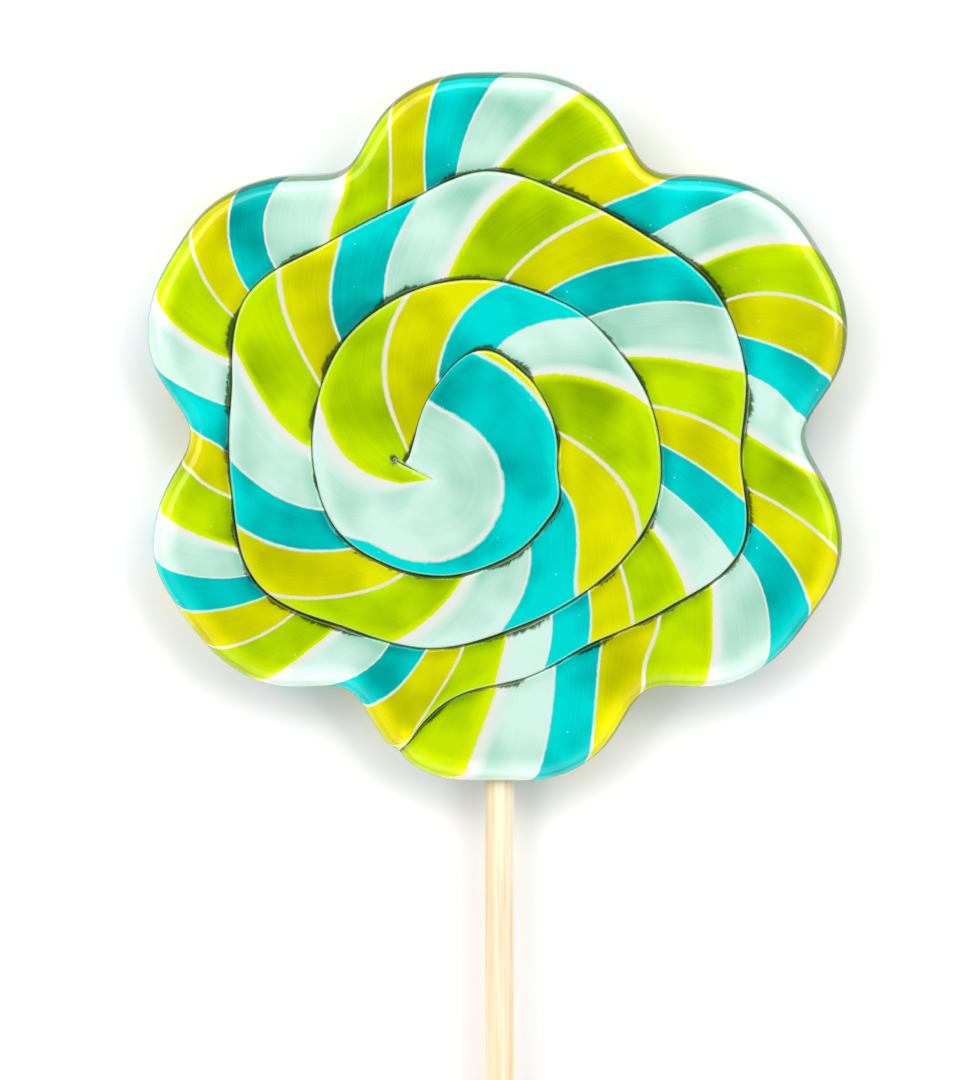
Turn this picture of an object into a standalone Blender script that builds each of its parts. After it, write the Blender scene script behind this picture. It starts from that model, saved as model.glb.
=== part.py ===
"""Swirl lollipop: one striped rope of pulled sugar, coiled and pressed flat into a flower, on a round stick.

The candy lies on its flat back with the shown side up. The origin is the centre of the flower on that
back, +Y points away from the stick and +Z points up out of the shown side. Everything is in metres.
Directions on the flat are turns in degrees, counted clockwise from +Y as seen from above. The rope is
followed in the same way: its outer seam starts at SEAM_START and has gone round almost three times
when it meets the rim at SEAM_END.
"""
import math

import bmesh
import bpy
from mathutils import Vector

MM = 0.001

# The flower's outline: a mean radius and the waves that make its six lobes and its hand-made unevenness.
# Each wave has its count round the rim, its height and the direction of one of its crests in degrees.
RIM_MEAN_RADIUS = 46.7 * MM
RIM_WAVES = (
    (6, 3.8 * MM, 0.0),
    (12, 1.25 * MM, 15.0),
    (18, 0.23 * MM, 0.0),
    (2, 0.81 * MM, 90.0),
    (5, 0.29 * MM, 0.0),
    (8, 0.28 * MM, 22.5),
    (13, 0.19 * MM, 0.0),
    (7, 0.18 * MM, 25.7),
    (11, 0.16 * MM, 16.4),
    (24, 0.12 * MM, 7.5),
)

# The pressed slab of candy, and how its edge is rounded on both faces.
CANDY_THICKNESS = 9.0 * MM
EDGE_RADIUS = 2.2 * MM

# The seam between one coil and the next. Its radius is given at every 20 degrees, a turn to a row, about
# a centre that moves from the eye of the coil to its middle while the seam makes its first turn.
EYE = Vector((-8.9 * MM, -6.6 * MM))
COIL_MIDDLE = Vector((0.0, 0.6 * MM))
SEAM_START = 297.0
SEAM_END = 1277.0
SEAM_STEP = 20.0
SEAM_RADII_MM = (
    4.4, 4.8, 6.8, 11.7, 17.6, 17.2, 15.8, 14.5, 13.6, 14.5, 14.7, 15.8, 17.5, 20.2, 22.9, 25.4, 25.5, 24.9,
    24.2, 22.7, 21.3, 20.1, 19.2, 19.3, 19.5, 20.8, 22.4, 24.3, 25.1, 26.1, 28.2, 32.0, 34.7, 39.4, 37.4, 36.7,
    38.6, 34.2, 33.0, 34.9, 33.1, 33.0, 35.0, 34.7, 33.5, 37.4, 34.2, 32.6, 35.1, 35.2,
)
# The last bit of the seam swings outwards to the rim, where the rope's end is pressed onto the coil.
TAIL_SWING_TURN = 40.0
TAIL_SWING_POWER = 6

# Cross section of the groove along the seam: distance from the seam in half widths, and share of the depth.
GROOVE_DEPTH = 1.2 * MM
GROOVE_HALF_WIDTH = 1.3 * MM
GROOVE_PROFILE = ((0.0, 1.0), (0.35, 0.45), (1.0, 0.1), (2.2, 0.0))
BACK_PROFILE = ((0.0, 1.0), (1.0, 0.0))
GROOVE_FADE_IN_TURN = 24.0
GROOVE_FADE_OUT_TURN = 8.0
EDGE_FALL = 0.25 * MM
BACK_GROOVE_SHARE = 0.5

# The crease at the eye, where the first end of the rope was tucked in, with a pit at its outer end.
CREASE_LENGTH = 5.8 * MM
CREASE_HALF_WIDTH = 1.0 * MM
CREASE_DEPTH = 0.9 * MM
PIT_DEPTH = 1.5 * MM
PIT_RADIUS = 1.5 * MM

# How finely the candy is divided: the step along the coil, and round the edge from face to face.
ROW_TURN = 4.0
EDGE_ARC_STEPS = 3

# The round bamboo stick and the blind hole that it is set in.
STICK_RADIUS = 2.0 * MM
STICK_LENGTH = 160.0 * MM
STICK_EMBEDDED = 45.0 * MM
STICK_OFFSET_X = 0.3 * MM
STICK_END_ROUNDING = 0.3 * MM
STICK_SIDES = 32
STICK_GAP = 0.3 * MM

WELD_DISTANCE = 0.002 * MM
FULL_TURN = 360.0


def direction(turn):
    """Unit vector on the flat at a turn clockwise from +Y."""
    angle = math.radians(turn)
    return Vector((math.sin(angle), math.cos(angle)))


def smooth_step(value):
    """Goes smoothly from 0 to 1 as value goes from 0 to 1."""
    value = min(max(value, 0.0), 1.0)
    return value * value * (3.0 - 2.0 * value)


def rim_point(turn):
    """Point on the flower's outline."""
    radius = RIM_MEAN_RADIUS
    for count, height, crest in RIM_WAVES:
        radius += height * math.cos(math.radians(count * (turn - crest)))
    return radius * direction(turn)


def rim_outward(turn):
    """Unit vector square to the outline, pointing out of the flower."""
    along = rim_point(turn + 0.5) - rim_point(turn - 0.5)
    return Vector((-along.y, along.x)).normalized()


def shoulder_point(turn):
    """Point where the flat face ends and the rounded edge begins."""
    return rim_point(turn) - EDGE_RADIUS * rim_outward(turn)


def listed_radius(turn):
    """Seam radius between the listed ones, on a smooth curve through them."""
    place = (turn - SEAM_START) / SEAM_STEP
    index = min(int(place), len(SEAM_RADII_MM) - 2)
    part = place - index
    here, after = SEAM_RADII_MM[index], SEAM_RADII_MM[index + 1]
    before = SEAM_RADII_MM[index - 1] if index > 0 else 2.0 * here - after
    last = index + 2 >= len(SEAM_RADII_MM)
    beyond = 2.0 * after - here if last else SEAM_RADII_MM[index + 2]
    slope = after - before
    bend = 2.0 * before - 5.0 * here + 4.0 * after - beyond
    twist = 3.0 * here - before - 3.0 * after + beyond
    return MM * (here + 0.5 * part * (slope + part * (bend + part * twist)))


def seam_centre(turn):
    """Centre that the seam's radius is measured from."""
    return EYE.lerp(COIL_MIDDLE, smooth_step((turn - SEAM_START) / FULL_TURN))


def seam_point(turn):
    """Point on the seam; before its start the seam is a plain circle about the eye."""
    if turn <= SEAM_START:
        return EYE + listed_radius(SEAM_START) * direction(turn)
    if turn >= SEAM_END:
        return shoulder_point(turn)
    point = seam_centre(turn) + listed_radius(turn) * direction(turn)
    listed_end = COIL_MIDDLE + listed_radius(SEAM_END) * direction(SEAM_END)
    swing = max(0.0, (turn - SEAM_END) / TAIL_SWING_TURN + 1.0) ** TAIL_SWING_POWER
    return point + swing * (shoulder_point(SEAM_END) - listed_end)


def seam_depth(turn):
    """Depth of the groove along the seam, or the small fall of the face beside the rounded edge."""
    if turn >= SEAM_END:
        return EDGE_FALL
    fade_in = smooth_step((turn - SEAM_START) / GROOVE_FADE_IN_TURN)
    fade_out = smooth_step((SEAM_END - turn) / GROOVE_FADE_OUT_TURN)
    return (EDGE_FALL + (GROOVE_DEPTH - EDGE_FALL) * fade_out) * fade_in


def crease_depth(point):
    """Depth of the crease and its pit below a point of the shown face."""
    along_crease = direction(SEAM_START)
    offset = point - EYE
    along = min(max(offset.dot(along_crease), 0.0), CREASE_LENGTH)
    aside = (offset - along * along_crease).length
    crease = CREASE_DEPTH * smooth_step(1.0 - aside / CREASE_HALF_WIDTH)
    to_pit = (offset - CREASE_LENGTH * along_crease).length
    pit = PIT_DEPTH * smooth_step(1.0 - to_pit / PIT_RADIUS)
    return max(crease, pit)


def back_seam_depth(turn):
    """Depth of the shallower groove on the back."""
    return BACK_GROOVE_SHARE * max(0.0, seam_depth(turn) - EDGE_FALL)


def across_rope(turn, column, profile, depth_at):
    """Point and depth at a column across the rope, from its inner seam to its outer one."""
    inner, outer = seam_point(turn - FULL_TURN), seam_point(turn)
    width = (outer - inner).length
    reach = min(GROOVE_HALF_WIDTH, width / (2.0 * profile[-1][0] + 0.5))
    if column < len(profile):
        part, share = profile[column]
        distance, depth = part * reach, share * depth_at(turn - FULL_TURN)
    else:
        part, share = profile[2 * len(profile) - 1 - column]
        distance, depth = width - part * reach, share * depth_at(turn)
    share_across = distance / width if width > 0.0 else 0.0
    return inner.lerp(outer, share_across), depth


def front_rope(column, row):
    """Vertex of the shown face: column across the rope, row along it."""
    point, depth = across_rope(SEAM_START + ROW_TURN * row, column, GROOVE_PROFILE, seam_depth)
    return point.x, point.y, CANDY_THICKNESS - max(depth, crease_depth(point))


def back_rope(column, row):
    """Vertex of the back face."""
    point, depth = across_rope(SEAM_START + ROW_TURN * row, column, BACK_PROFILE, back_seam_depth)
    return point.x, point.y, depth


def front_eye(column, row):
    """Vertex of the small round face inside the seam's first circle, on the shown side."""
    radius = listed_radius(SEAM_START) * column / 2.0
    point = EYE + radius * direction(SEAM_START + ROW_TURN * row)
    return point.x, point.y, CANDY_THICKNESS - crease_depth(point)


def back_eye(column, row):
    """Vertex of the same round face on the back."""
    point = EYE + listed_radius(SEAM_START) * column * direction(SEAM_START + ROW_TURN * row)
    return point.x, point.y, 0.0


def round_edge(column, row):
    """Vertex of the rounded edge and wall, from the shown face round to the back."""
    turn = SEAM_END + ROW_TURN * row
    top = CANDY_THICKNESS - EDGE_FALL - EDGE_RADIUS
    on_front = column <= EDGE_ARC_STEPS
    step = column if on_front else 2 * EDGE_ARC_STEPS + 1 - column
    angle = math.radians(90.0) * step / EDGE_ARC_STEPS
    point = shoulder_point(turn) + EDGE_RADIUS * math.sin(angle) * rim_outward(turn)
    rise = EDGE_RADIUS * math.cos(angle)
    return point.x, point.y, top + rise if on_front else EDGE_RADIUS - rise


def add_sheet(mesh, columns, rows, place):
    """Adds a grid of faces to the mesh and puts each of its vertices where place says."""
    sheet = bmesh.ops.create_grid(mesh, x_segments=columns, y_segments=rows, size=1.0)
    for vertex in sheet["verts"]:
        column = round((vertex.co.x + 1.0) / 2.0 * columns)
        row = round((vertex.co.y + 1.0) / 2.0 * rows)
        vertex.co = place(column, row)


def new_collection(name):
    """Collection in the open scene, made anew."""
    collection = bpy.data.collections.new(name)
    bpy.context.scene.collection.children.link(collection)
    return collection


def move_to(item, collection):
    """Takes an object out of its collections and into the given one."""
    for owner in item.users_collection:
        owner.objects.unlink(item)
    collection.objects.link(item)


def new_material(name, colour, roughness):
    """Plain Principled material."""
    material = bpy.data.materials.new(name)
    material.use_nodes = True
    shader = material.node_tree.nodes["Principled BSDF"]
    shader.inputs["Base Color"].default_value = (*colour, 1.0)
    shader.inputs["Roughness"].default_value = roughness
    shader.inputs["Metallic"].default_value = 0.0
    return material


def shade_round(item, sharp_angle):
    """Smooth shading with sharp edges only where the faces meet at more than the angle."""
    item.data.shade_smooth()
    item.data.set_sharp_from_angle(angle=math.radians(sharp_angle))


def make_candy(collection):
    """The coil: both faces with their grooves, the round edge, and the eye in the middle."""
    rows_per_turn = round(FULL_TURN / ROW_TURN)
    coil_rows = round((SEAM_END - SEAM_START) / ROW_TURN) + rows_per_turn
    mesh = bmesh.new()
    add_sheet(mesh, 2 * len(GROOVE_PROFILE) - 1, coil_rows, front_rope)
    add_sheet(mesh, 2 * len(BACK_PROFILE) - 1, coil_rows, back_rope)
    add_sheet(mesh, 2, rows_per_turn, front_eye)
    add_sheet(mesh, 1, rows_per_turn, back_eye)
    add_sheet(mesh, 2 * EDGE_ARC_STEPS + 1, rows_per_turn, round_edge)
    bmesh.ops.remove_doubles(mesh, verts=mesh.verts, dist=WELD_DISTANCE)
    bmesh.ops.recalc_face_normals(mesh, faces=mesh.faces)
    data = bpy.data.meshes.new("candy")
    mesh.to_mesh(data)
    mesh.free()
    candy = bpy.data.objects.new("candy", data)
    collection.objects.link(candy)
    candy.data.materials.append(new_material("boiled_sugar", (0.42, 0.68, 0.02), 0.12))
    shade_round(candy, 40.0)
    return candy


def add_rod(name, radius, top_y, bottom_y):
    """Round rod lying along Y at half the candy's thickness."""
    bpy.ops.mesh.primitive_cylinder_add(
        vertices=STICK_SIDES,
        radius=radius,
        depth=top_y - bottom_y,
        location=(STICK_OFFSET_X, (top_y + bottom_y) / 2.0, CANDY_THICKNESS / 2.0),
        rotation=(math.radians(90.0), 0.0, 0.0),
    )
    rod = bpy.context.object
    rod.name = name
    rod.data.name = name
    return rod


def make_stick(collection):
    """The bamboo stick, with both ends slightly rounded."""
    top_y = rim_point(180.0).y + STICK_EMBEDDED
    stick = add_rod("stick", STICK_RADIUS, top_y, top_y - STICK_LENGTH)
    move_to(stick, collection)
    rounding = stick.modifiers.new("rounded_ends", "BEVEL")
    rounding.width = STICK_END_ROUNDING
    rounding.segments = 2
    rounding.limit_method = "ANGLE"
    rounding.angle_limit = math.radians(60.0)
    stick.data.materials.append(new_material("bamboo", (0.92, 0.76, 0.5), 0.55))
    shade_round(stick, 40.0)
    return top_y


def cut_stick_hole(candy, stick_top, collection):
    """The blind hole that the stick sits in, a little wider and deeper than the stick."""
    below_rim = rim_point(180.0).y - 2.0 * EDGE_RADIUS
    cutter = add_rod("stick_hole_cutter", STICK_RADIUS + STICK_GAP, stick_top + STICK_GAP, below_rim)
    move_to(cutter, collection)
    cutter.hide_render = True
    cutter.display_type = "WIRE"
    hole = candy.modifiers.new("stick_hole", "BOOLEAN")
    hole.operation = "DIFFERENCE"
    hole.solver = "EXACT"
    hole.object = cutter


def main():
    for item in list(bpy.data.objects):
        bpy.data.objects.remove(item)
    parts = new_collection("swirl_lollipop")
    cutters = new_collection("cutters")
    candy = make_candy(parts)
    stick_top = make_stick(parts)
    cut_stick_hole(candy, stick_top, cutters)


main()
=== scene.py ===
import math

import bpy
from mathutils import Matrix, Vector, noise


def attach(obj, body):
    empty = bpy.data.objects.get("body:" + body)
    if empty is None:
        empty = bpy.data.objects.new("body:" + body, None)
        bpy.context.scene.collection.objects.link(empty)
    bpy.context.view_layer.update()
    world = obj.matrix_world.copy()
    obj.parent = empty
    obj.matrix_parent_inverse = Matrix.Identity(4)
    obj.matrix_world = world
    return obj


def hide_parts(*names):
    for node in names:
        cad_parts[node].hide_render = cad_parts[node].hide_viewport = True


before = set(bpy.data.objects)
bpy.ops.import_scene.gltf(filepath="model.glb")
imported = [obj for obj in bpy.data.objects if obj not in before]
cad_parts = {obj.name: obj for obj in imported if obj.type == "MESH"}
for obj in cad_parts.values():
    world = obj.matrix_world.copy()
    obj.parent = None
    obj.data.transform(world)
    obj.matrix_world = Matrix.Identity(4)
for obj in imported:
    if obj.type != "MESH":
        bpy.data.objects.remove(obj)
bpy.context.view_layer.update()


# Camera. The lollipop lies on its back and is seen from almost straight above through a long lens.
# The camera leans six degrees towards the top of the flower, so a little of that side wall shows.
MM = 0.001
FACE_HEIGHT = 9.0 * MM
PICTURE_HEIGHT_ON_FACE = 147.2 * MM
PICTURE_CENTRE = Vector((-1.04 * MM, -14.9 * MM, FACE_HEIGHT))
LENS = 200.0
SENSOR = 36.0
CLIP_END = 10.0
LEAN = math.radians(6.0)

camera_data = bpy.data.cameras.new("camera")
camera_data.sensor_fit = "VERTICAL"
camera_data.sensor_height = SENSOR
camera_data.lens = LENS
camera_data.clip_end = CLIP_END
camera = bpy.data.objects.new("camera", camera_data)
bpy.context.scene.collection.objects.link(camera)
camera_distance = PICTURE_HEIGHT_ON_FACE * LENS / SENSOR
camera_direction = Vector((0.0, math.sin(LEAN), math.cos(LEAN)))
camera.location = PICTURE_CENTRE + camera_distance * camera_direction
camera.rotation_euler = (-LEAN, 0.0, 0.0)
bpy.context.scene.camera = camera


# Candy, shape. One rope of pulled sugar is coiled almost three times round its own tucked-in end,
# then pressed into a flower while warm, so that the coils melt together along a ragged seam.
# Directions are turns in degrees, clockwise from +Y seen from above, and count on round the coil.
RIM_MEAN_RADIUS = 46.9 * MM
# Each wave of the outline has a count round the flower, a height in millimetres and a crest's turn.
RIM_WAVES = (
    (6, 3.8, 0.0), (12, 1.25, 15.0), (18, 0.23, 0.0), (2, 0.81, 90.0), (5, 0.29, 0.0),
    (8, 0.28, 22.5), (13, 0.19, 0.0), (7, 0.18, 25.7), (11, 0.16, 16.4), (24, 0.12, 7.5),
)
NEARBY_TURN = 0.5
EDGE_RADIUS = 2.2 * MM
EYE = Vector((-8.9 * MM, -6.6 * MM))
COIL_MIDDLE = Vector((0.0, 0.6 * MM))
SEAM_START = 297.0
SEAM_END = 1277.0
SEAM_STEP = 20.0
# Radii in millimetres of the middle of the dark line along the seam, one for each step.
SEAM_RADII = (
    4.4, 4.8, 6.8, 11.7, 17.6, 17.2, 15.8, 14.5, 13.6, 14.5, 14.7, 15.8, 17.5, 20.2, 22.9, 25.4,
    25.5, 24.9, 24.2, 22.7, 21.3, 20.1, 19.2, 19.3, 19.5, 20.8, 22.4, 24.3, 25.1, 26.1, 28.2, 32.0,
    34.7, 39.4, 37.4, 36.7, 38.6, 34.2, 33.0, 34.9, 33.1, 33.0, 35.0, 34.7, 33.5, 37.4, 34.2, 32.6,
    35.1, 35.2,
)
SEAM_INSET = 0.15 * MM
TAIL_SWING_TURN = 40.0
TAIL_SWING_POWER = 6

ROLL_WIDTH = 2.8 * MM
ROLL_DROP = 2.4 * MM
ROLL_EXTRA_WAY = 1.3 * MM
ROLL_EXTRA_POWER = 6
RIM_HEIGHT = FACE_HEIGHT - ROLL_DROP
END_NOTCH_DEPTH = 0.5 * MM
END_NOTCH_HALF_TURN = 1.3
GROOVE_DEPTH = 0.55 * MM
GROOVE_FADE = 0.2 * MM
GROOVE_RAGGEDNESS = 0.6
GROOVE_RAGGEDNESS_SIZE = 1.0 * MM
ROUNDED_LIP = 0.45 * MM
ROUNDED_LIP_POWER = 3
GROOVE_FADE_IN_TURN = 24.0
GROOVE_FADE_OUT_TURN = 1.5
TAIL_GROOVE_SHARE = 0.5
TAIL_GROOVE_TURN = 70.0
TAIL_GROOVE_NARROWING = 3.0
BACK_GROOVE_DEPTH = 0.4 * MM
CREASE_LENGTH = 5.8 * MM
CREASE_HALF_WIDTH = 0.45 * MM
CREASE_DEPTH = 0.35 * MM
PIT_DEPTH = 0.4 * MM
PIT_RADIUS = 1.1 * MM
# Painted shade: a dark ring along the rim, narrow below and widest where the outline faces the upper
# right.
PAINTED_RING_TURN = 40.0
PAINTED_RING_FACING = (-0.6, 0.8)
PAINTED_RING_LEAST = 0.1 * MM
PAINTED_RING_MORE = 0.6 * MM
UNEVENNESS = 0.14 * MM
UNEVENNESS_SIZE = 11.0 * MM

# Twists of the rope. Each line is one twist and holds its lime, yellow, turquoise and mint band. A
# band is given by the turns where it begins on the rope's inner edge, middle line and outer edge.
TWISTS = (
    ((621, 622.5, 639.5), (675, 669, 687), (722, 708.5, 723.5), (744, 746, 760)),
    ((762, 776.5, 803), (793, 822.5, 849), (827, 860.5, 875), (871, 886.5, 900)),
    ((907.5, 917, 926), (931, 940, 954.5), (949.5, 959.5, 969.5), (964.5, 973, 983.5)),
    ((983.5, 993, 1007.5), (1003, 1016, 1026), (1018, 1029.5, 1041), (1037.5, 1048, 1061.5)),
    ((1060, 1073, 1086.5), (1082.5, 1095, 1106.5), (1099, 1113, 1126), (1119.5, 1131, 1143)),
    ((1140.5, 1151, 1157.5), (1162.5, 1168, 1174), (1176, 1181.5, 1187), (1189.5, 1194.5, 1199.5)),
    ((1203, 1207.5, 1212), (1218.5, 1222.5, 1226), (1231, 1234, 1237.5), (1244, 1246, 1249.5)),
    ((1257, 1259, 1260.5), (1269, 1271.5, 1278), (1277.5, 1281.5, 1285.5), (1286.5, 1288.5, 1293)),
    ((1298.5, 1300.5, 1303), (1307.5, 1309, 1313), (1313.5, 1316.5, 1320.5), (1319, 1323, 1329)),
    ((1324.5, 1331, 1336.5), (1335, 1340.5, 1344), (1344.5, 1348, 1350), (1354.5, 1356.5, 1360)),
    ((1364, 1366.5, 1371.5), (1372.5, 1377, 1383), (1378.5, 1384, 1392.5), (1385.5, 1391, 1400)),
    ((1397.5, 1405.5, 1409.5), (1413.5, 1418, 1421.5), (1423, 1426, 1430.5), (1430.5, 1435, 1440.5)),
    ((1439.5, 1447.5, 1454), (1451.5, 1459.5, 1464.5), (1465, 1470, 1474), (1478.5, 1482, 1486.5)),
    ((1491, 1494, 1500), (1501, 1504.5, 1513.5), (1509, 1516, 1521.5), (1518, 1524, 1528)),
    ((1531, 1534.5, 1538), (1544, 1546, 1550), (1550.5, 1554.5, 1560.5), (1557.5, 1562.5, 1571.5)),
    ((1566, 1574.5, 1581), (1579, 1587, 1590.5), (1594, 1599.5, 1604.5), (1606.5, 1610, 1614)),
    ((1619.5, 1623, 1625.5), (1651, 1654, 1657), (1663, 1666, 1669), (1675, 1678, 1681)),
)
BAND = 0.25
FIRST_BAND_TURN = 60.0
WALL_TWIST = 0.23
FACE_TWIST = 0.24
LOWER_EDGE_TWIST = 0.06
EYE_BACK_TWIST = -0.7
RIM_MEETING_TURN = 20.0
CORE_MINT_RADIUS = 8.6 * MM
CORE_MINT_GROWTH = 0.0165 * MM
CORE_MINT_GROWTH_FROM = 400.0
CORE_MINT_SWELL = 2.8 * MM
CORE_MINT_SWELL_FROM = 355.0
CORE_MINT_SWELL_FADE = 22.0
CORE_MINT_SHARE = 0.12
CORE_TURQUOISE_WIDTH = 9.0 * MM
CORE_END = 580.0
CORE_MEETING_TURN = 30.0

ROW_TURN = 0.8
FACE_COLUMNS = 26
BACK_COLUMNS = 10
COLUMN_CROWDING = 0.8
EDGE_ARC_STEPS = 8
EYE_RINGS = 8
FAR = 100.0
MERGE_DISTANCE = 0.002 * MM

rows_in_coil = round((SEAM_END + 360.0 - SEAM_START) / ROW_TURN)
rows_in_turn = round(360.0 / ROW_TURN)


def direction(turn):
    """Unit vector on the flat at a turn."""
    return Vector((math.sin(math.radians(turn)), math.cos(math.radians(turn))))


def polar_turn(point):
    """Turn of a point as seen from the flower's centre."""
    return math.degrees(math.atan2(point.x, point.y))


def turn_between(turn, other):
    """Shortest way from one turn to another, without whole rounds."""
    return (other - turn + 180.0) % 360.0 - 180.0


def ease(value):
    """Goes smoothly from 0 to 1 as value goes from 0 to 1."""
    value = min(max(value, 0.0), 1.0)
    return value * value * (3.0 - 2.0 * value)


def rim_point(turn):
    """Point on the flower's outline, which has a notch where the rope ends."""
    waves = sum(
        height * math.cos(math.radians(count * (turn - crest)))
        for count, height, crest in RIM_WAVES
    )
    notch = END_NOTCH_DEPTH * math.exp(-((turn_between(SEAM_END, turn) / END_NOTCH_HALF_TURN) ** 2))
    return (RIM_MEAN_RADIUS + waves * MM - notch) * direction(turn)


def rim_outward(turn):
    """Unit vector square to the outline."""
    along = rim_point(turn + NEARBY_TURN) - rim_point(turn - NEARBY_TURN)
    return Vector((-along.y, along.x)).normalized()


def shoulder_point(turn):
    """Point where the coils end and the rounded edge begins."""
    return rim_point(turn) - EDGE_RADIUS * rim_outward(turn)


def seam_radius(turn):
    """Radius of the seam, on a smooth curve a little inside the listed radii."""
    place = (turn - SEAM_START) / SEAM_STEP
    index = min(int(place), len(SEAM_RADII) - 2)
    part = place - index
    here, after = SEAM_RADII[index], SEAM_RADII[index + 1]
    before = SEAM_RADII[index - 1] if index > 0 else 2.0 * here - after
    beyond = SEAM_RADII[index + 2] if index + 2 < len(SEAM_RADII) else 2.0 * after - here
    bend = 2.0 * before - 5.0 * here + 4.0 * after - beyond
    twist = 3.0 * here - before - 3.0 * after + beyond
    radius = here + 0.5 * part * (after - before + part * (bend + part * twist))
    return MM * radius - SEAM_INSET


def seam_point(turn):
    """Point on the seam: a circle about the eye before its start, the shoulder after its end."""
    if turn <= SEAM_START:
        return EYE + seam_radius(SEAM_START) * direction(turn)
    if turn >= SEAM_END:
        return shoulder_point(turn)
    centre = EYE.lerp(COIL_MIDDLE, ease((turn - SEAM_START) / 360.0))
    swing = max(0.0, (turn - SEAM_END) / TAIL_SWING_TURN + 1.0) ** TAIL_SWING_POWER
    unswung_end = COIL_MIDDLE + seam_radius(SEAM_END) * direction(SEAM_END)
    swung = swing * (shoulder_point(SEAM_END) - unswung_end)
    return centre + seam_radius(turn) * direction(turn) + swung


def seam_openness(turn):
    """Share of the groove's full depth along the seam."""
    fade_in = ease((turn - SEAM_START) / GROOVE_FADE_IN_TURN)
    fade_out = ease((SEAM_END - turn) / GROOVE_FADE_OUT_TURN)
    tail = 1.0 - (1.0 - TAIL_GROOVE_SHARE) * ease((turn - SEAM_END) / TAIL_GROOVE_TURN + 1.0)
    return fade_in * tail * fade_out


def crease(point):
    """Depth of the eye's crease with the pit at its end, and the distance from each in mm."""
    offset = point - EYE
    along = min(max(offset.dot(direction(SEAM_START)), 0.0), CREASE_LENGTH)
    from_crease = (offset - along * direction(SEAM_START)).length
    from_pit = (offset - CREASE_LENGTH * direction(SEAM_START)).length
    depth = max(
        CREASE_DEPTH * ease(1.0 - from_crease / CREASE_HALF_WIDTH),
        PIT_DEPTH * ease(1.0 - from_pit / PIT_RADIUS),
    )
    return depth, from_crease / MM, from_pit / MM


def inside_rim(point):
    """Distance of a point from the outline."""
    turn = polar_turn(point)
    return (rim_point(turn).length - point.length) * rim_outward(turn).dot(direction(turn))


def rim_place(point):
    """Distances in mm from the outline and from the dark ring of painted shade, widest at the upper
    right.
    """
    inside = inside_rim(point)
    facing = rim_outward(polar_turn(point)).dot(direction(PAINTED_RING_TURN))
    least, most = PAINTED_RING_FACING
    painted_ring_width = PAINTED_RING_LEAST + PAINTED_RING_MORE * ease((facing - least) / (most - least))
    return inside / MM, (inside - painted_ring_width) / MM


def rolled_share(point):
    """Share of the way from where the face begins to roll over to the rim."""
    return min(max(1.0 - inside_rim(point) / ROLL_WIDTH, 0.0), 1.0)


def pressed_height(point):
    """Height of the hand-pressed face, slightly uneven and rolled over towards the rim."""
    rolled = rolled_share(point)
    bumps = noise.noise(Vector((point.x, point.y, 0.0)) / UNEVENNESS_SIZE)
    uneven = UNEVENNESS * (0.5 + 0.5 * bumps) * (1.0 - rolled)
    return FACE_HEIGHT - ROLL_DROP * (1.0 - math.sqrt(1.0 - rolled * rolled)) - uneven


def way_down(rolled, height):
    """Share of the way from the flat face round the edge to the back."""
    extra = ROLL_EXTRA_WAY * rolled ** ROLL_EXTRA_POWER
    return (extra + RIM_HEIGHT - height) / (ROLL_EXTRA_WAY + RIM_HEIGHT)


def band_start(band, share):
    """Turn where a band begins, at a share of the way from the rope's inner to its outer edge."""
    inner, middle, outer = band
    ahead = share - 0.5
    return middle + (outer - inner) * ahead + 2.0 * (inner + outer - 2.0 * middle) * ahead * ahead


def wound_twist(turn, share):
    """Twist count of the coiled rope at a turn and a share of the way across it."""
    last_start, last_count = None, 0.0
    for number, twist in enumerate(TWISTS):
        for place, band in enumerate(twist):
            start = band_start(band, share)
            if turn < start:
                if last_start is None:
                    return -BAND * min(1.0, (start - turn) / FIRST_BAND_TURN)
                return last_count + BAND * (turn - last_start) / (start - last_start)
            last_start, last_count = start, number + place * BAND
    return last_count


def core_twist(point, turn):
    """Twist count in the core, where the rope's own end shows as rings about the eye."""
    growth = CORE_MINT_GROWTH * (turn - CORE_MINT_GROWTH_FROM)
    swell = CORE_MINT_SWELL * math.exp((CORE_MINT_SWELL_FROM - turn) / CORE_MINT_SWELL_FADE)
    mint_radius = CORE_MINT_RADIUS + growth + swell
    outside = (point - EYE).length - mint_radius
    if outside > 0.0:
        return -BAND - BAND * outside / CORE_TURQUOISE_WIDTH
    return -BAND - CORE_MINT_SHARE * outside / mint_radius


def face_twist(point, turn, share):
    """Twist count on the shown face."""
    weight = ease((turn - CORE_END) / CORE_MEETING_TURN)
    if weight <= 0.0:
        return core_twist(point, turn)
    wound = wound_twist(turn, share)
    if weight >= 1.0:
        return wound
    return core_twist(point, turn) * (1.0 - weight) + wound * weight


def across(turn, column, columns):
    """Point across the rope, its share of the way, and its distances from both seams."""
    step = column / columns
    share = step - COLUMN_CROWDING * math.sin(2.0 * math.pi * step) / (2.0 * math.pi)
    inner, outer = seam_point(turn - 360.0), seam_point(turn)
    width = (outer - inner).length
    return inner.lerp(outer, share), share, share * width, (1.0 - share) * width


def torn_side(distance, point):
    """Share of the groove's depth at a distance outside the seam, where the sugar tore a little."""
    raggedness = noise.noise(Vector((point.x, point.y, 0.0)) / GROOVE_RAGGEDNESS_SIZE)
    return math.exp(-distance / (GROOVE_FADE * (1.0 + GROOVE_RAGGEDNESS * raggedness)))


def lip_side(distance, point):
    """Share of the groove's depth at a distance inside the smoothly rounded lip of a coil."""
    return (1.0 - min(distance / ROUNDED_LIP, 1.0)) ** ROUNDED_LIP_POWER


def between_edges(side, distance, width, point):
    """A groove's share of its depth, whole at its own edge of the rope and none at the other."""
    rest = side(width, point)
    return (side(distance, point) - rest) / (1.0 - rest) if rest < 1.0 else 1.0


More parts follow.
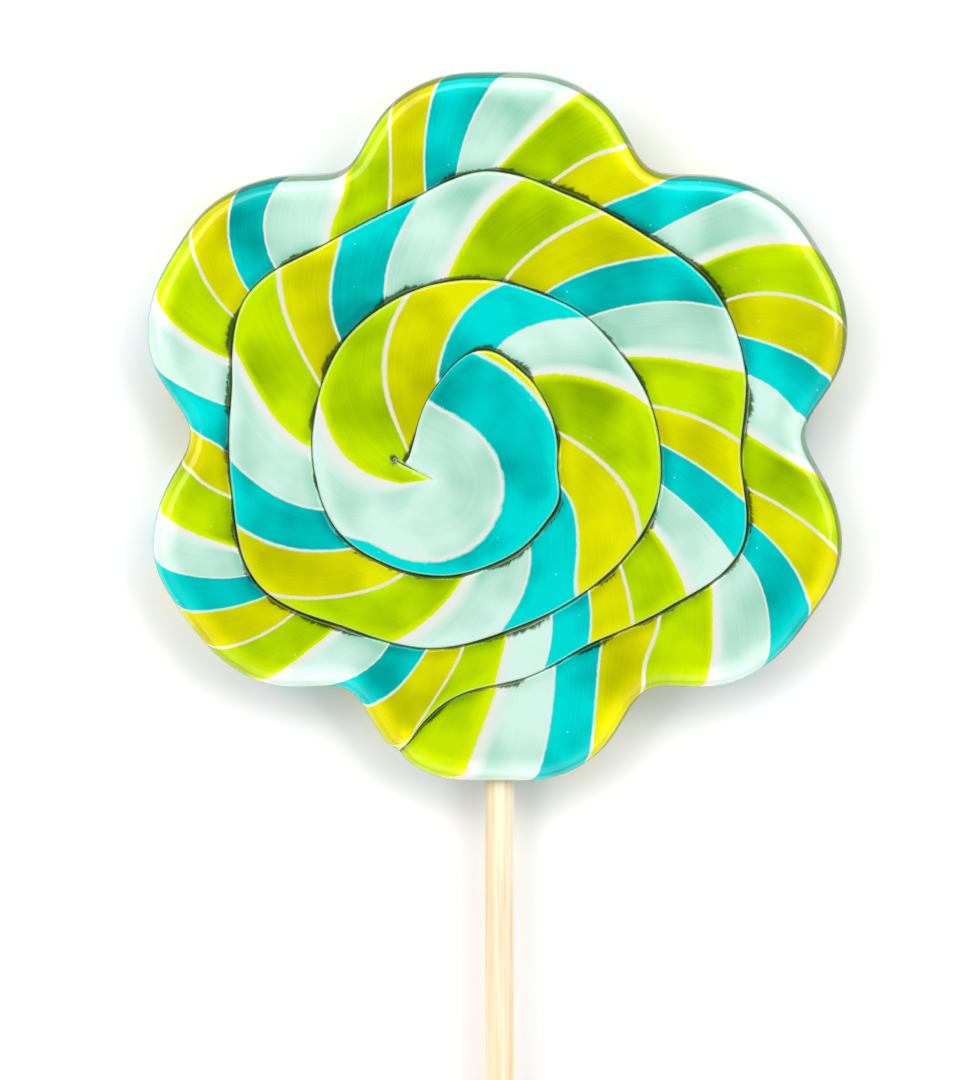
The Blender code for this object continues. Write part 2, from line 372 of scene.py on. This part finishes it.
def groove_share(turn, point, from_inner, from_outer):
    """Share of the full groove depth at a point across the rope."""
    width = from_inner + from_outer
    inner = seam_openness(turn - 360.0) * between_edges(torn_side, from_inner, width, point)
    outer = seam_openness(turn) * between_edges(lip_side, from_outer, width, point)
    return max(inner, outer)


def face_spot(column, row):
    """Vertex of the shown face, its twist count and share across the rope, its distances from the
    seams, and its place at the rim."""
    turn = SEAM_START + ROW_TURN * row
    point, share, from_inner, from_outer = across(turn, column, FACE_COLUMNS)
    groove_depth = GROOVE_DEPTH * groove_share(turn, point, from_inner, from_outer)
    crease_depth, from_crease, from_pit = crease(point)
    height = pressed_height(point) - max(groove_depth, crease_depth)
    past_end = math.radians(max(turn - SEAM_END, 0.0)) * RIM_MEAN_RADIUS
    near_inner = min(from_inner / MM if turn - 360.0 > SEAM_START else FAR, from_pit)
    near_outer = min(math.hypot(from_outer, past_end) / MM, from_crease)
    at_rim = ease((turn - SEAM_END) / RIM_MEETING_TURN + 1.0)
    if at_rim > 0.0:
        turn += share * turn_between(turn, polar_turn(shoulder_point(turn))) * at_rim
        width = from_inner + from_outer
        share *= width / (width + EDGE_RADIUS * at_rim)
    down = way_down(rolled_share(point), RIM_HEIGHT)
    twist = face_twist(point, turn, share) - WALL_TWIST * down
    return (point.x, point.y, height), (twist, share), (near_inner, near_outer), rim_place(point)


def back_spot(column, row):
    """The same for a vertex of the back, where the twist has gone on round the rope."""
    turn = SEAM_START + ROW_TURN * row
    point, share, from_inner, from_outer = across(turn, column, BACK_COLUMNS)
    depth = BACK_GROOVE_DEPTH * groove_share(turn, point, from_inner, from_outer)
    round_edge = WALL_TWIST + LOWER_EDGE_TWIST + FACE_TWIST * (1.0 - share)
    twist = face_twist(seam_point(turn), turn, 1.0) - round_edge
    near_inner = from_inner / MM if turn - 360.0 > SEAM_START else FAR
    near_outer = from_outer / MM if turn < SEAM_END else FAR
    return (point.x, point.y, depth), (twist, share), (near_inner, near_outer), rim_place(point)


def eye_spot(column, row):
    """The same for a vertex of the round face inside the seam's first circle."""
    turn = SEAM_START + ROW_TURN * row
    point = EYE + seam_radius(SEAM_START) * (column / EYE_RINGS) * direction(turn)
    crease_depth, from_crease, from_pit = crease(point)
    height = pressed_height(point) - crease_depth
    twist = face_twist(point, turn, 0.0)
    return (point.x, point.y, height), (twist, 0.0), (from_pit, from_crease), (FAR, FAR)


def eye_back_spot(column, row):
    """The same on the back."""
    turn = SEAM_START + ROW_TURN * row
    point = EYE + seam_radius(SEAM_START) * (column / EYE_RINGS) * direction(turn)
    return (point.x, point.y, 0.0), (EYE_BACK_TWIST, 0.0), (FAR, FAR), (FAR, FAR)


def edge_spot(column, row):
    """The same for a vertex of the rounded edge, from the shown face over the wall to the back."""
    turn = SEAM_END + ROW_TURN * row
    on_front = column <= EDGE_ARC_STEPS
    step = column if on_front else 2 * EDGE_ARC_STEPS + 1 - column
    angle = math.radians(90.0) * step / EDGE_ARC_STEPS
    inward = 1.0 - math.sin(angle)
    point = shoulder_point(turn) + EDGE_RADIUS * math.sin(angle) * rim_outward(turn)
    width = (shoulder_point(turn) - seam_point(turn - 360.0)).length
    if on_front:
        height = pressed_height(point)
        share = 1.0 - EDGE_RADIUS / (width + EDGE_RADIUS) * inward
        round_edge = WALL_TWIST * way_down(rolled_share(point), RIM_HEIGHT)
    else:
        height = EDGE_RADIUS * (1.0 - math.cos(angle))
        share = 1.0
        round_edge = WALL_TWIST * way_down(1.0, height) + LOWER_EDGE_TWIST * inward
    twist = wound_twist(turn + turn_between(turn, polar_turn(point)), share) - round_edge
    from_end = ROW_TURN * row if row < rows_in_turn / 2 else ROW_TURN * row - 360.0
    from_end_way = math.radians(abs(from_end)) * RIM_MEAN_RADIUS / MM
    near_end = TAIL_GROOVE_NARROWING * from_end_way
    near_seams = (FAR, near_end) if from_end >= 0.0 else (near_end, FAR)
    if row == rows_in_turn:
        near_seams = (0.0, FAR)
    return (point.x, point.y, height), (twist, 1.0), near_seams, rim_place(point)


def add_sheet(name, columns, rows, spot_at):
    """Grid whose vertices are put where spot_at says, with what else it says as UV maps."""
    bpy.ops.mesh.primitive_grid_add(
        x_subdivisions=columns, y_subdivisions=rows, size=2.0, calc_uvs=False
    )
    sheet = bpy.context.object
    sheet.name = name
    mesh = sheet.data
    maps = {"twist": [], "seams": [], "rim": []}
    for vertex in mesh.vertices:
        column = round((vertex.co.x + 1.0) / 2.0 * columns)
        row = round((vertex.co.y + 1.0) / 2.0 * rows)
        vertex.co, *values = spot_at(column, row)
        for map_values, value in zip(maps.values(), values):
            map_values.append(value)
    for map_name, values in maps.items():
        layer = mesh.uv_layers.new(name=map_name)
        corners = [number for loop in mesh.loops for number in values[loop.vertex_index]]
        layer.data.foreach_set("uv", corners)
    return sheet


bpy.ops.object.select_all(action="DESELECT")
sheets = [
    add_sheet("candy_shown_face", FACE_COLUMNS, rows_in_coil, face_spot),
    add_sheet("candy_back", BACK_COLUMNS, rows_in_coil, back_spot),
    add_sheet("candy_eye", EYE_RINGS, rows_in_turn, eye_spot),
    add_sheet("candy_eye_back", EYE_RINGS, rows_in_turn, eye_back_spot),
    add_sheet("candy_edge", 2 * EDGE_ARC_STEPS + 1, rows_in_turn, edge_spot),
]
bpy.ops.object.select_all(action="DESELECT")
for sheet in sheets:
    sheet.select_set(True)
candy = sheets[0]
bpy.context.view_layer.objects.active = candy
bpy.ops.object.join()
candy.name = "striped_candy"
bpy.ops.object.mode_set(mode="EDIT")
bpy.ops.mesh.select_all(action="SELECT")
bpy.ops.mesh.remove_doubles(threshold=MERGE_DISTANCE)
bpy.ops.mesh.normals_make_consistent(inside=False)
bpy.ops.object.mode_set(mode="OBJECT")
bpy.ops.object.shade_smooth()
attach(candy, "root")
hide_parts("candy")


# Candy, finish. Four sugars of different colours are pulled into one rope with white ones between
# them, so each band is streaked along its length, cloudy where air was pulled in, and glossy.
LIME_DEEP = (0.26, 0.41, 0.0)
LIME_BRIGHT = (0.65, 0.84, 0.0)
LIME_LIT = (0.82, 0.90, 0.0)
YELLOW_DEEP = (0.50, 0.47, 0.0)
YELLOW_BRIGHT = (0.89, 0.84, 0.0)
TURQUOISE_DEEP = (0.0, 0.30, 0.28)
TURQUOISE_BRIGHT = (0.0, 0.74, 0.70)
MINT_DEEP = (0.37, 0.67, 0.51)
MINT_BRIGHT = (0.77, 0.95, 0.85)
MINT_FADED = (0.85, 0.90, 0.82)
WHITE_LINE = (0.95, 0.88, 0.81)
CREAM_LINE = (0.95, 0.83, 0.62)
PALE_LINE = (0.76, 0.88, 0.79)
# Painted highlight on each coil's rounded lip.
PAINTED_LIP_HIGHLIGHT = (1.0, 0.98, 0.70)
# Painted shade along the seams.
PAINTED_SEAM_SHADE = (0.13, 0.17, 0.07)
# Painted glow: the face away from the rim is multiplied by this, so the sugar looks lit through
# towards the rim.
PAINTED_GLOW_FACE_LEVEL = (0.72, 0.80, 0.80)
# Painted shade on the dark ring along the rim.
PAINTED_RING_SHADE = (0.30, 0.36, 0.30)
WHITE = (1.0, 1.0, 1.0)

# Scales are per metre and distances from the seams and the rim are in millimetres.
WOBBLE_SCALE = 1500.0
WOBBLE_WIDTH = 0.008
CLOUD_SCALE = 95.0
CLOUD_CONTRAST = (0.32, 0.66)
STREAK_STRETCH = (110.0, 0.9, 1.0)
STREAK_SHARE = 0.12
# Painted light: the sugar lighter towards -Y, the lower side of the flower as seen.
PAINTED_SIDE_LIGHT_Y = (40.0 * MM, -40.0 * MM)
PAINTED_SIDE_LIGHT_LEVELS = (-0.05, 0.2)
# Painted light growing towards each coil's outer lip and painted shade on each coil's foot by the
# seam, in mm from the seams.
PAINTED_LIP_LIGHT_REACH = (2.6, 0.0)
PAINTED_LIP_LIGHT_LEVELS = (0.0, 0.5)
PAINTED_FOOT_SHADE_REACH = (2.2, 0.0)
PAINTED_FOOT_SHADE_LEVELS = (0.0, -0.5)
TEAR_STRETCH = (40.0, 2.0, 1.0)
TEAR_ROUGHNESS = 0.65
# Painted shade in ragged patches along each seam's crease: the patches' scale and contrast, how far
# the shade reaches outside and inside the seam, how dark it gets, and its soft edge.
PATCH_SCALE = 130.0
PATCH_CONTRAST = (0.42, 0.66)
PATCH_REACH = (0.15, 1.0)
PAINTED_SHADE_DEPTH_REACH = (0.15, 0.5)
PAINTED_SHADE_DEPTH = (0.8, 1.0)
PAINTED_SHADE_OUTSIDE = 2.4
PAINTED_SHADE_INSIDE = 0.45
SEAM_FADE = (1.0, 0.55)
# Painted highlight line on the lip: distances in mm from the seam and its strength.
PAINTED_LIP_HIGHLIGHT_LINE = ((0.06, 0.0), (0.14, 0.65), (0.24, 0.65), (0.36, 0.0))
BUBBLE_SCALE = 620.0
BUBBLE_EDGE = (0.09, 0.05)
BUBBLES_LEFT_OUT = 0.8
BUBBLE_STRENGTH = 0.35
# Painted glow towards the rim, over this distance in mm.
PAINTED_GLOW_REACH = (4.0, 1.6)
# Soft inner boundary of the painted shade ring, in mm.
PAINTED_RING_FADE = (0.15, -0.1)
RELIEF_SCALE = 420.0
RELIEF_STREAK_SHARE = 0.2
RELIEF_STRENGTH = 0.25
RELIEF_DISTANCE = 0.2 * MM
SUGAR_ROUGHNESS = (0.06, 0.14)
SUGAR_IOR = 1.75
SUGAR_TRANSLUCENCY = 0.25
SUGAR_LIGHT_DEPTH = 1.5 * MM
GLOSS_WHITENESS = 0.3

NODE_SPACING = 200.0
# Places of a Mix node's factor, two inputs and result among its sockets.
MIX_SOCKETS = {"FLOAT": (0, 2, 3, 0), "RGBA": (0, 6, 7, 2)}


def feed(tree, source, socket):
    """Link another node's output to a socket, or set the socket to a number, vector or colour."""
    if isinstance(source, bpy.types.NodeSocket):
        tree.links.new(source, socket)
    elif socket.type == "RGBA":
        socket.default_value = (*source, 1.0)
    else:
        socket.default_value = source


def add_node(tree, kind, place, **values):
    """Node at a place of the tree, with its settings and what its sockets get, both by name."""
    node = tree.nodes.new(kind)
    node.location = (place[0] * NODE_SPACING, place[1] * NODE_SPACING)
    for name, value in values.items():
        if hasattr(node, name):
            setattr(node, name, value)
        else:
            feed(tree, value, node.inputs[name.replace("_", " ")])
    return node


def add_math(tree, place, operation, *sources, use_clamp=False):
    """Result of a sum on sockets or numbers."""
    node = add_node(tree, "ShaderNodeMath", place, operation=operation, use_clamp=use_clamp)
    for source, socket in zip(sources, node.inputs):
        feed(tree, source, socket)
    return node.outputs[0]


def add_range(tree, place, value, spread, levels=(0.0, 1.0), kind="LINEAR"):
    """Level that goes from one to the other while a value goes over its spread."""
    node = add_node(
        tree, "ShaderNodeMapRange", place, interpolation_type=kind, Value=value,
        From_Min=spread[0], From_Max=spread[1], To_Min=levels[0], To_Max=levels[1],
    )
    return node.outputs[0]


def add_mix(tree, place, factor, first, second, data_type="RGBA", blend_type="MIX"):
    """Two colours or numbers mixed, or the first one shaded by the second."""
    node = add_node(tree, "ShaderNodeMix", place, data_type=data_type, blend_type=blend_type)
    *inputs, result = MIX_SOCKETS[data_type]
    for source, index in zip((factor, first, second), inputs):
        feed(tree, source, node.inputs[index])
    return node.outputs[result]


def add_noise(tree, place, vector, scale, detail, roughness=0.5):
    """Soft random pattern from 0 to 1."""
    node = add_node(
        tree, "ShaderNodeTexNoise", place, Vector=vector, Scale=scale, Detail=detail,
        Roughness=roughness,
    )
    return node.outputs["Fac"]


def add_stretch(tree, place, vector, stretch):
    """Vector stretched along each axis."""
    node = add_node(tree, "ShaderNodeVectorMath", place, operation="MULTIPLY")
    for source, socket in zip((vector, stretch), node.inputs):
        feed(tree, source, socket)
    return node.outputs[0]


def add_ramp(tree, place, value, steps):
    """Colour that goes through steps, each a position and a colour, as a value goes from 0 to 1."""
    ramp = add_node(tree, "ShaderNodeValToRGB", place, Fac=value)
    elements = ramp.color_ramp.elements
    first, *inner, last = steps
    for element, (position, colour) in zip(elements, (first, last)):
        element.position, element.color = position, (*colour, 1.0)
    for position, colour in inner:
        elements.new(position).color = (*colour, 1.0)
    return ramp.outputs["Color"]


def add_stripes(tree, place, value, lime, yellow, turquoise, mint):
    """Colours along one twist: four bands and the pale lines between them."""
    return add_ramp(tree, place, value, (
        (0.0, WHITE_LINE), (0.004, LIME_LIT), (0.034, lime), (0.238, lime),
        (0.243, CREAM_LINE), (0.256, CREAM_LINE), (0.261, yellow), (0.490, yellow),
        (0.496, PALE_LINE), (0.504, PALE_LINE), (0.509, turquoise), (0.743, turquoise),
        (0.748, PALE_LINE), (0.753, WHITE_LINE), (0.758, mint), (0.94, mint),
        (0.972, MINT_FADED), (0.984, WHITE_LINE), (1.0, WHITE_LINE),
    ))


def start_material(name):
    """New material with an empty node tree."""
    material = bpy.data.materials.new(name)
    material.use_nodes = True
    material.node_tree.nodes.clear()
    return material


sugar = start_material("striped_boiled_sugar")
tree = sugar.node_tree
place = add_node(tree, "ShaderNodeTexCoord", (-8, -1)).outputs["Object"]
twist_map = add_node(tree, "ShaderNodeUVMap", (-8, 2), uv_map="twist").outputs["UV"]
twist = add_node(tree, "ShaderNodeSeparateXYZ", (-7, 2), Vector=twist_map).outputs["X"]
seam_map = add_node(tree, "ShaderNodeUVMap", (-8, -4), uv_map="seams").outputs["UV"]
seams = add_node(tree, "ShaderNodeSeparateXYZ", (-7, -4), Vector=seam_map)
outside_seam, inside_seam = seams.outputs["X"], seams.outputs["Y"]
rim_map = add_node(tree, "ShaderNodeUVMap", (-5, 4), uv_map="rim").outputs["UV"]
rim = add_node(tree, "ShaderNodeSeparateXYZ", (-4, 4), Vector=rim_map)
inside_outline, inside_painted_ring = rim.outputs["X"], rim.outputs["Y"]

wobble = add_noise(tree, (-7, 0), place, WOBBLE_SCALE, 2.0)
wobbled = add_math(tree, (-6, 0), "MULTIPLY_ADD", wobble, WOBBLE_WIDTH, twist)
centred = add_math(tree, (-5, 0), "SUBTRACT", wobbled, WOBBLE_WIDTH / 2.0)
in_twist = add_math(tree, (-4, 0), "FRACT", centred)
deep = add_stripes(
    tree, (-3, 1), in_twist, LIME_DEEP, YELLOW_DEEP, TURQUOISE_DEEP, MINT_DEEP
)
bright = add_stripes(
    tree, (-3, 0), in_twist, LIME_BRIGHT, YELLOW_BRIGHT, TURQUOISE_BRIGHT, MINT_BRIGHT
)

clouds = add_noise(tree, (-6, -1), place, CLOUD_SCALE, 2.0)
streak_place = add_stretch(tree, (-6, -2), twist_map, STREAK_STRETCH)
streaks = add_noise(tree, (-5, -2), streak_place, 1.0, 3.0)
cloud_and_streak = add_mix(tree, (-4, -1), STREAK_SHARE, clouds, streaks, "FLOAT")
brightness = add_range(tree, (-3, -1), cloud_and_streak, CLOUD_CONTRAST)
# Painted light: lighter towards -Y, added with the coils' painted light and shade to the random tone
# that mixes the deep and bright stripes.
place_y = add_node(tree, "ShaderNodeSeparateXYZ", (-6, 1), Vector=place).outputs["Y"]
painted_side_light = add_range(tree, (-5, 1), place_y, PAINTED_SIDE_LIGHT_Y, PAINTED_SIDE_LIGHT_LEVELS)
# Painted light on each coil's outer lip and painted shade on its foot by the seam.
painted_lip_light = add_range(tree, (-5, 3), inside_seam, PAINTED_LIP_LIGHT_REACH, PAINTED_LIP_LIGHT_LEVELS, "SMOOTHSTEP")
painted_foot_shade = add_range(
    tree, (-5, 2), outside_seam, PAINTED_FOOT_SHADE_REACH, PAINTED_FOOT_SHADE_LEVELS, "SMOOTHSTEP"
)
coil_painted_light = add_math(tree, (-4, 2), "ADD", painted_lip_light, painted_foot_shade)
all_painted_light = add_math(tree, (-4, 1), "ADD", coil_painted_light, painted_side_light)
tone_and_painted_light = add_math(tree, (-3, 2), "ADD", brightness, all_painted_light, use_clamp=True)
band_colours_with_painted_light = add_mix(tree, (-2, 1), tone_and_painted_light, deep, bright)

tear_place = add_stretch(tree, (-8, -3), twist_map, TEAR_STRETCH)
tears = add_noise(tree, (-7, -3), tear_place, 1.0, 5.0, TEAR_ROUGHNESS)
# Painted shade in ragged patches along each seam's crease.
patches = add_noise(tree, (-7, -5), place, PATCH_SCALE, 1.0)
patch_reach = add_range(tree, (-6, -5), patches, PATCH_CONTRAST, PATCH_REACH)
reach = add_math(tree, (-6, -4), "MULTIPLY", tears, patch_reach)
outside_reach = add_math(tree, (-5, -4), "MULTIPLY", reach, PAINTED_SHADE_OUTSIDE)
outside_share = add_math(tree, (-4, -4), "DIVIDE", outside_seam, outside_reach)
inside_reach = add_math(tree, (-5, -5), "MULTIPLY", reach, PAINTED_SHADE_INSIDE)
inside_share = add_math(tree, (-4, -5), "DIVIDE", inside_seam, inside_reach)
near_seam = add_math(tree, (-3, -4), "MINIMUM", outside_share, inside_share)
painted_seam_shade_mask = add_range(tree, (-2, -4), near_seam, SEAM_FADE, kind="SMOOTHSTEP")
painted_shade_depth_by_patch = add_range(
    tree, (-2, -5), patch_reach, PAINTED_SHADE_DEPTH_REACH, PAINTED_SHADE_DEPTH
)
painted_seam_shade_strength = add_math(tree, (-1, -4), "MULTIPLY", painted_seam_shade_mask, painted_shade_depth_by_patch)
with_painted_seam_shade = add_mix(tree, (0, 0), painted_seam_shade_strength, band_colours_with_painted_light, PAINTED_SEAM_SHADE, blend_type="MULTIPLY")
# Painted highlight: a pale line along each coil's rounded lip beside the seam, broken by the ragged
# noise.
lip_highlight_steps = [(position, (level,) * 3) for position, level in PAINTED_LIP_HIGHLIGHT_LINE]
lip_highlight_line = add_ramp(tree, (-3, -6), inside_seam, lip_highlight_steps)
painted_lip_highlight_share = add_math(tree, (-2, -6), "MULTIPLY", lip_highlight_line, tears)
with_lip_highlight = add_mix(tree, (1, 2), painted_lip_highlight_share, with_painted_seam_shade, PAINTED_LIP_HIGHLIGHT)

bubbles = add_node(tree, "ShaderNodeTexVoronoi", (-7, 5), Vector=place, Scale=BUBBLE_SCALE)
bubble_spots = add_range(tree, (-6, 5), bubbles.outputs["Distance"], BUBBLE_EDGE)
bubble_colours = add_node(
    tree, "ShaderNodeSeparateColor", (-6, 6), Color=bubbles.outputs["Color"]
)
bubble_pick = add_math(
    tree, (-5, 6), "GREATER_THAN", bubble_colours.outputs["Red"], BUBBLES_LEFT_OUT
)
bubble_mask = add_math(tree, (-4, 5), "MULTIPLY", bubble_spots, bubble_pick)
bubble_strength = add_math(tree, (-3, 5), "MULTIPLY", bubble_mask, BUBBLE_STRENGTH)
bubbled = add_mix(tree, (0, 2), bubble_strength, with_lip_highlight, WHITE_LINE)

# Painted glow: the sugar brighter towards the rim and the face farther in darker.
painted_glow_share = add_range(tree, (-3, 4), inside_outline, PAINTED_GLOW_REACH, kind="SMOOTHSTEP")
painted_glow = add_mix(tree, (-2, 4), painted_glow_share, PAINTED_GLOW_FACE_LEVEL, WHITE)
colour_with_painted_glow = add_mix(tree, (1, 1), 1.0, bubbled, painted_glow, blend_type="MULTIPLY")
# Painted shade: a dark ring along the rim's edge, widest at the upper right.
painted_ring_share = add_range(tree, (-3, 3), inside_painted_ring, PAINTED_RING_FADE, kind="SMOOTHSTEP")
colour_with_painted_light = add_mix(tree, (2, 1), painted_ring_share, colour_with_painted_glow, PAINTED_RING_SHADE, blend_type="MULTIPLY")

relief = add_noise(tree, (-2, -2), place, RELIEF_SCALE, 3.0)
streaky_relief = add_mix(tree, (-1, -2), RELIEF_STREAK_SHARE, relief, streaks, "FLOAT")
bump = add_node(
    tree, "ShaderNodeBump", (0, -2), Strength=RELIEF_STRENGTH, Distance=RELIEF_DISTANCE,
    Height=streaky_relief,
)
sugar_roughness = add_range(tree, (0, -1), relief, (0.0, 1.0), SUGAR_ROUGHNESS)
gloss_tint = add_mix(tree, (1, -2), GLOSS_WHITENESS, band_colours_with_painted_light, WHITE)
sugar_shader = add_node(
    tree, "ShaderNodeBsdfPrincipled", (3, 0), Base_Color=colour_with_painted_light, Roughness=sugar_roughness,
    IOR=SUGAR_IOR, Specular_Tint=gloss_tint, Subsurface_Weight=SUGAR_TRANSLUCENCY,
    Subsurface_Radius=WHITE, Subsurface_Scale=SUGAR_LIGHT_DEPTH, Normal=bump.outputs["Normal"],
)
add_node(tree, "ShaderNodeOutputMaterial", (4, 0), Surface=sugar_shader.outputs[0])
candy.data.materials.clear()
candy.data.materials.append(sugar)


# Stick. A round rod turned from split bamboo and sanded, pale, with fine straight fibres and warmer
# bands along its length; the warm sugar was pressed round its upper end.
BAMBOO_PALE = (0.93, 0.86, 0.70)
BAMBOO_WARM = (0.86, 0.65, 0.38)
BAMBOO_FIBRE = (0.70, 0.46, 0.22)
BAMBOO_STRETCH = (1.0, 0.02, 1.0)
BAMBOO_BAND_SCALE = 600.0
BAMBOO_BAND_CONTRAST = (0.4, 0.6)
FIBRE_SCALE = 2600.0
FIBRE_SCALE_ROUGHNESS = 0.6
FIBRE_CONTRAST = (0.48, 0.68)
FIBRE_STRENGTH = (0.0, 0.6)
FIBRE_RELIEF_STRENGTH = 0.4
FIBRE_RELIEF_DISTANCE = 0.1 * MM
BAMBOO_ROUGHNESS = 0.6

bamboo = start_material("sanded_bamboo")
tree = bamboo.node_tree
place = add_node(tree, "ShaderNodeTexCoord", (-6, 0)).outputs["Object"]
along_stick = add_node(
    tree, "ShaderNodeMapping", (-5, 0), Vector=place, Scale=BAMBOO_STRETCH
).outputs[0]
bands = add_noise(tree, (-4, 1), along_stick, BAMBOO_BAND_SCALE, 1.0)
warm_share = add_range(tree, (-3, 1), bands, BAMBOO_BAND_CONTRAST)
tone = add_mix(tree, (-2, 1), warm_share, BAMBOO_PALE, BAMBOO_WARM)
fibres = add_noise(tree, (-4, 0), along_stick, FIBRE_SCALE, 4.0, FIBRE_SCALE_ROUGHNESS)
fibre_share = add_range(tree, (-3, 0), fibres, FIBRE_CONTRAST, FIBRE_STRENGTH)
grained = add_mix(tree, (-1, 0), fibre_share, tone, BAMBOO_FIBRE)
bump = add_node(
    tree, "ShaderNodeBump", (-1, -1), Strength=FIBRE_RELIEF_STRENGTH,
    Distance=FIBRE_RELIEF_DISTANCE, Height=fibres,
)
bamboo_shader = add_node(
    tree, "ShaderNodeBsdfPrincipled", (0, 0), Base_Color=grained, Roughness=BAMBOO_ROUGHNESS,
    Normal=bump.outputs["Normal"],
)
add_node(tree, "ShaderNodeOutputMaterial", (1, 0), Surface=bamboo_shader.outputs[0])
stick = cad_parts["stick"]
for slot in stick.material_slots:
    slot.material = bamboo


# Floor and light. A plain nearly white sheet lies under the lollipop. The studio light is soft and
# comes from all sides but straight above, where it would lie as a haze on the glossy face.
FLOOR_SIZE = 6.0
FLOOR_COLOUR = (0.93, 0.93, 0.93)
FLOOR_ROUGHNESS = 0.9
# Brightness of the dome at heights from the horizon, 0, to straight above, 1.
DOME_LIGHT = ((0.0, 0.25), (0.3, 0.5), (0.8, 0.55), (0.93, 0.1), (1.0, 0.02))
DOME_STRENGTH = 0.8
# Each softbox has a turn on the flat, an angle above it, a distance and size in metres, and watts.
SOFTBOXES = {
    "softbox_top": (0.0, 48.0, 1.0, (0.5, 0.4), 1.8),
    "softbox_right": (55.0, 45.0, 1.0, (1.1, 0.5), 6.2),
    "softbox_left": (300.0, 45.0, 1.0, (1.1, 0.5), 6.2),
    "softbox_front": (180.0, 30.0, 1.2, (2.2, 0.8), 7.0),
}

bpy.ops.mesh.primitive_plane_add(size=FLOOR_SIZE, location=(0.0, 0.0, 0.0))
floor = bpy.context.object
floor.name = "floor"
paper = start_material("white_paper")
tree = paper.node_tree
paper_shader = add_node(
    tree, "ShaderNodeBsdfPrincipled", (0, 0), Base_Color=FLOOR_COLOUR, Roughness=FLOOR_ROUGHNESS
)
add_node(tree, "ShaderNodeOutputMaterial", (1, 0), Surface=paper_shader.outputs[0])
floor.data.materials.append(paper)

world = bpy.data.worlds.new("studio")
world.use_nodes = True
bpy.context.scene.world = world
tree = world.node_tree
tree.nodes.clear()
view_direction = add_node(tree, "ShaderNodeTexCoord", (-4, 0)).outputs["Generated"]
height = add_node(tree, "ShaderNodeSeparateXYZ", (-3, 0), Vector=view_direction).outputs["Z"]
dome_steps = [(position, (level,) * 3) for position, level in DOME_LIGHT]
dome = add_ramp(tree, (-2, 0), height, dome_steps)
background = add_node(tree, "ShaderNodeBackground", (0, 0), Color=dome, Strength=DOME_STRENGTH)
add_node(tree, "ShaderNodeOutputWorld", (1, 0), Surface=background.outputs[0])

for name, (turn, height_angle, distance, size, power) in SOFTBOXES.items():
    data = bpy.data.lights.new(name, "AREA")
    data.shape = "RECTANGLE"
    data.size, data.size_y = size
    data.energy = power
    lamp = bpy.data.objects.new(name, data)
    bpy.context.scene.collection.objects.link(lamp)
    flat = direction(turn) * math.cos(math.radians(height_angle))
    towards = Vector((flat.x, flat.y, math.sin(math.radians(height_angle))))
    lamp.location = towards * distance
    lamp.rotation_euler = towards.to_track_quat("Z", "Y").to_euler()
bpy.context.scene.view_settings.view_transform = "Standard"
